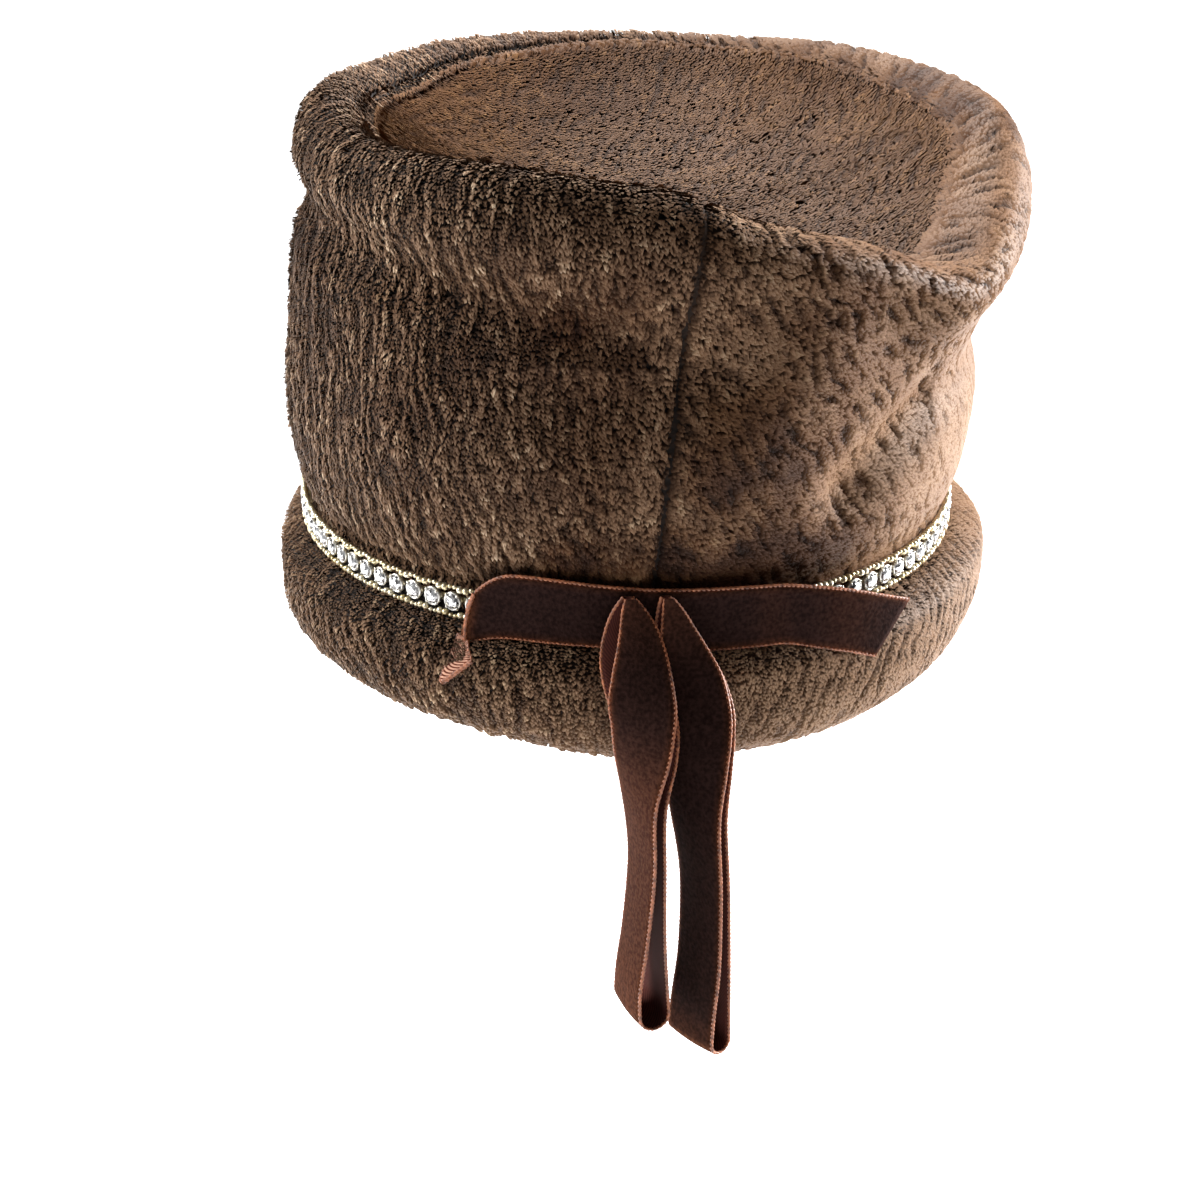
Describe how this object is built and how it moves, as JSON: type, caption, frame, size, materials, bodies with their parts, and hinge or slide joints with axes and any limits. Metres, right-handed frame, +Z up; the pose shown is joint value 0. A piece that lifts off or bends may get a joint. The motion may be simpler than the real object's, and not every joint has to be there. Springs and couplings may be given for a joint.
{
  "type": "pillbox hat",
  "caption": "Soft tall pillbox hat in curled brown plush with a sunken top, a turned-up cuff, a rhinestone trim and a velvet ribbon bow hanging at the back.",
  "frame": {"origin": "middle of the head opening, level with the lowest line of the cuff", "axes": "+Z up through the crown, +Y to the wearer's front, so the back seam and the bow face -Y; +X is the wearer's right"},
  "size_m": [0.2047, 0.2448, 0.2204],
  "materials": {
    "crown_plush": "curled short-pile plush, medium brown",
    "tip_plush": "curled short-pile plush, lighter brown",
    "cuff_plush": "padded curled short-pile plush",
    "pale_gold": "bright pale gold setting with clear cut stones",
    "brown_velvet": "velvet ribbon, very dark brown"
  },
  "bodies": {
    "root": {"crown_wall": "crown_plush", "crown_tip": "tip_plush", "cuff": "cuff_plush", "rhinestone_trim": "pale_gold", "ribbon_band": "brown_velvet", "ribbon_loop_left": "brown_velvet", "ribbon_loop_right": "brown_velvet"}
  },
  "joints": []
}
